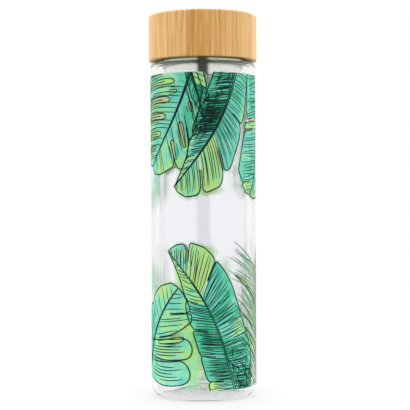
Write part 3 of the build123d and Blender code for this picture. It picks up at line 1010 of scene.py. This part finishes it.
LOWER_MONSTERA = {
    "midrib": [(-46, 18), (-38, 42), (-28, 54), (-16, 68)],
    "stem": 1.1,
    "stem_tone": 0.3,
    1: {
        "angle": [(0, 60), (0.6, 60), (1, 50)],
        "reach": [(0, 16), (0.4, 17), (0.7, 13), (0.9, 7), (1, 1)],
        "curl": 0.1,
        "lobes": [
            (0.05, 0.45, 0.55, 0.72, 4, 0.5, 0.2),
            (0.45, 0.99, 0.66, 0.88, 5, 0.5, 0.2),
        ],
    },
    -1: {
        "angle": [(0, 60), (0.5, 52), (0.8, 50), (1, 45)],
        "reach": [(0, 12), (0.25, 20), (0.45, 26), (0.6, 22), (0.75, 15), (0.9, 7), (1, 1)],
        "curl": 0.05,
        "lobes": [
            (0.3, 0.62, 0.7, 0.85, 4, 0.5, 0.3),
            (0.6, 0.99, 0.72, 0.8, 4, 0.5, 0.2),
        ],
    },
}
PALM_STEM = [(44, -16), (47, 22), (47, 50), (42, 82)]
MONSTERA_SLIT = [(-33, 34.5), (-26, 35), (-12, 38)]

# a puddle is (centre, half sizes, tone, cover)
UPPER_PUDDLES = [
    ((-36, 130), (9, 15), 0.78, 0.55),
    ((-44, 122), (5, 12), 0.84, 0.5),
    ((24.5, 137), (3.5, 6), 1.2, 0.5),
    ((25, 130), (4, 5), 0.7, 0.4),
    ((-13, 141), (6, 5), 0.84, 0.5),
    ((2, 127), (14, 4.5), 0.86, 0.65),
]
LOWER_PUDDLES = [
    ((-8, 24), (11, 26), 0.9, 1.0),
    ((-10, 44), (10, 24), 0.9, 1.0),
    ((-10, 62), (7, 18), 0.86, 0.9),
    ((-14, 76), (6, 14), 0.86, 0.8),
    ((-42, 72), (9, 16), 0.78, 0.55),
    ((3, 90), (8, 5), 0.86, 0.6),
    ((15, 80), (5, 9), 0.8, 0.35),
    ((38, 40), (10, 34), 0.8, 0.35),
    ((-30, 42), (16, 30), 0.8, 0.6),
    ((-42, 22), (10, 9), 0.86, 0.9),
]


def areca_drawing(stem, count, reach, layer):
    """A fine feather palm: thin leaflets along both sides of a bent stem, each a spindle that leaves the stem
    at a sharp angle and droops with the square of its length."""
    s = np.linspace(0.0, 0.97, count)
    root = bezier(stem, s)
    ahead = unit(bezier(stem, s + 0.01) - bezier(stem, s - 0.01))
    swell = 0.6 + 0.4 * np.sin(np.pi * (0.2 + 0.7 * s))[:, None]
    washes, lines = [], []
    t = np.linspace(0, 1, 14)
    for side in (1, -1):
        turn = np.radians(rng.uniform(36, 56, count))[:, None]
        far = np.cos(turn) * ahead + np.sin(turn) * left_of(ahead) * side
        length = reach * swell * rng.uniform(0.8, 1.15, (count, 1))
        middle = root[:, None] + far[:, None] * length[:, None] * t[None, :, None]
        droop = rng.uniform(0.0, 0.2, (count, 1)) * length * t**2
        middle += left_of(ahead)[:, None] * side * droop[..., None]
        washes += list(ribbons(middle, LEAFLET_WIDTH, 1.0))
        lines += list(ribbons(middle, FINE, 0.6))
    lines += list(ribbons(bezier(stem, np.linspace(0, 1, 40)), LIGHT, 0.4))
    film_of = {"tone": LEAFLET_TONE, "cover": LEAFLET_COVER, "lift": height(layer)}
    return [{"uv": uv, **film_of} for uv in washes], lines


def puddles(places):
    """Soft puddles of thin colour, with no drawn lines. They lie under the leaves."""
    return [{**pool(*place), "lift": height(-1)} for place in places], []


def leaf_print():
    """Both bands, front and back, one wash piece and one line piece for each leaf. The side frond and the
    palm are printed once only. A leaf's strokes are random, so the order of the drawings matters."""
    for back in (False, True):
        where = "back" if back else "front"
        frond = {} if back else {"frond": [leaf_drawing(UPPER_FROND, 2)]}
        palm = {} if back else {"areca": [areca_drawing(PALM_STEM, 46, 32, 1)]}
        drawings = {
            "upper": {
                "monstera": [leaf_drawing(UPPER_MONSTERA, 1)],
                "bloom": [puddles(UPPER_PUDDLES)],
                "sprig": [leaf_drawing(UPPER_SPRIG, 4)],
                **frond,
                "banana_leaf": [leaf_drawing(UPPER_BANANA, 6)],
            },
            "lower": {
                **palm,
                "bloom": [puddles(LOWER_PUDDLES)],
                "monstera": [
                    leaf_drawing(LOWER_MONSTERA, 3),
                    lobe_drawing((-47, 31), -6, 41, 12.5, 16, 0.78, 2, 5),
                    lobe_drawing((-47, 20), -24, 40, 14.5, 44, 0.72, 5, 5),
                    slit(bezier(MONSTERA_SLIT, np.linspace(0, 1, 22)), 3.4, 1.0, 8),
                ],
                "banana_leaf": [leaf_drawing(LOWER_BANANA, 8)],
            },
        }
        for band, leaves in drawings.items():
            for leaf, parts in leaves.items():
                washes = [wash for part, _ in parts for wash in part]
                lines = [{"uv": line, "lift": LINE_LIFT} for _, part in parts for line in part]
                film(f"{band}_{leaf}_wash_{where}", washes, WASH, band, back)
                if lines:
                    film(f"{band}_{leaf}_lines_{where}", lines, INK, band, back)


leaf_print()

# ---------------------------------------------------------------- studio
GAP_FROM, GAP_TO = 10, 23  # degrees from the front over which the dark gap fades into the front light
GAP_LEVEL = 0.05
FRONT_LEVEL = 0.75
SIDE_FROM, SIDE_TO = 40, 120  # and over which the front light grows into the side light
SIDE_LEVEL = 0.9
OVERHEAD_FROM, OVERHEAD_TO = 0.06, 0.4  # sine of the elevation
OVERHEAD = 2.3
BACKDROP = 1.01
FLOOR_NEAR, FLOOR_FAR = 40 * MM, 250 * MM
FLOOR_GLOW = 0.8  # share of the floor's own light under the bottle; far off it is all the floor's own
FLOOR_SHADOW_LEVEL = 0.85  # and how bright that light is there: dimmer than far off, a painted shadow round the base
FLOAT = {"data_type": "FLOAT"}


def surroundings(tree, direction, own_step):
    """Brightness of the white surroundings in a direction. Light that has been reflected or scattered sees a
    soft dark gap at the front, dim light either side of it, brighter side walls and a bright ceiling. Light
    that came straight through sees plain white. own_step is how many steps of a ray this shader counts
    itself: 1 for the world, 0 for a surface."""
    parts = add(tree, "SeparateXYZ", wires={"Vector": direction}).outputs
    side = add(tree, "Math", {"operation": "ABSOLUTE"}, {0: parts["X"]})
    front = add(tree, "Math", {"operation": "MULTIPLY"}, {0: parts["Y"], 1: -1.0})
    angle = add(tree, "Math", {"operation": "ARCTAN2"}, {0: side, 1: front})
    gap = add(tree, "MapRange", SMOOTHSTEP, {
        "Value": angle,
        "From Min": math.radians(GAP_FROM),
        "From Max": math.radians(GAP_TO),
        "To Min": GAP_LEVEL,
        "To Max": FRONT_LEVEL,
    })
    walls = add(tree, "MapRange", SMOOTHSTEP, {
        "Value": angle,
        "From Min": math.radians(SIDE_FROM),
        "From Max": math.radians(SIDE_TO),
        "To Max": SIDE_LEVEL - FRONT_LEVEL,
    })
    level = add(tree, "Math", {"operation": "ADD"}, {0: gap, 1: walls})
    elevation = {"Value": parts["Z"], "From Min": OVERHEAD_FROM, "From Max": OVERHEAD_TO}
    high = add(tree, "MapRange", SMOOTHSTEP, elevation)
    ceiling = add(tree, "Math", {"operation": "MULTIPLY"}, {0: gap, 1: OVERHEAD / FRONT_LEVEL})
    seen = add(tree, "Mix", FLOAT, {"Factor": high, "A": level, "B": ceiling})
    path = add(tree, "LightPath").outputs
    kinds = {0: path["Is Camera Ray"], 1: path["Is Transmission Ray"]}
    sight = add(tree, "Math", {"operation": "ADD"}, kinds)
    passed = {0: path["Transmission Depth"], 1: own_step + 0.5}
    most = add(tree, "Math", {"operation": "ADD"}, passed)
    clear = add(tree, "Math", {"operation": "LESS_THAN"}, {0: path["Ray Depth"], 1: most})
    straight_through = add(tree, "Math", {"operation": "MULTIPLY"}, {0: sight, 1: clear})
    return add(tree, "Mix", FLOAT, {"Factor": straight_through, "A": seen, "B": BACKDROP})


def white_world():
    """The surroundings, as the world's light."""
    world = bpy.data.worlds.new("studio")
    bpy.context.scene.world = world
    world.use_nodes = True
    tree = world.node_tree
    tree.nodes.clear()
    level = surroundings(tree, add(tree, "TexCoord").outputs["Generated"], 1)
    background = add(tree, "Background", wires={"Color": linear("#FFFFFF"), "Strength": level})
    add(tree, "OutputWorld", wires={"Surface": background})


def pale_floor():
    """Painted floor with a light of its own, dimmer near the object as a painted shadow round its base, that
    turns to the white of the surroundings as it goes away from the object.
    """
    material, tree = new_material("floor_white_sweep")
    place = add(tree, "TexCoord").outputs["Object"]
    distance = add(tree, "VectorMath", {"operation": "LENGTH"}, {0: place}).outputs["Value"]
    spread = {"Value": distance, "From Min": FLOOR_NEAR, "From Max": FLOOR_FAR}
    far = add(tree, "MapRange", SMOOTHSTEP, spread)
    share = {0: far, 1: 1 - FLOOR_GLOW, 2: FLOOR_GLOW}
    glow = add(tree, "Math", {"operation": "MULTIPLY_ADD"}, share)
    level = surroundings(tree, place, 0)
    # painted shadow: the floor's own light is dimmer near the object and rises to the surroundings' white
    # further off
    glow_with_painted_shadow = add(tree, "Mix", FLOAT, {"Factor": far, "A": FLOOR_SHADOW_LEVEL, "B": level})
    pale = add(tree, "BsdfPrincipled", wires={"Base Color": linear("#FAFAFA"), "Roughness": 0.6})
    white = add(tree, "Emission", wires={"Color": linear("#FFFFFF"), "Strength": glow_with_painted_shadow})
    mixed = add(tree, "MixShader", wires={0: glow, 1: pale, 2: white})
    add(tree, "OutputMaterial", wires={"Surface": mixed})
    vertices, faces = turned([(6.0, 0), (0.3, 0), (0.05, 0), (0, 0)], 64)
    return make_object("floor", vertices, faces, material)


scene = bpy.context.scene
scene.view_settings.view_transform = "Standard"
scene.cycles.max_bounces = 24
scene.cycles.transmission_bounces = 20
scene.cycles.glossy_bounces = 12
scene.cycles.transparent_max_bounces = 64
white_world()
floor = pale_floor()
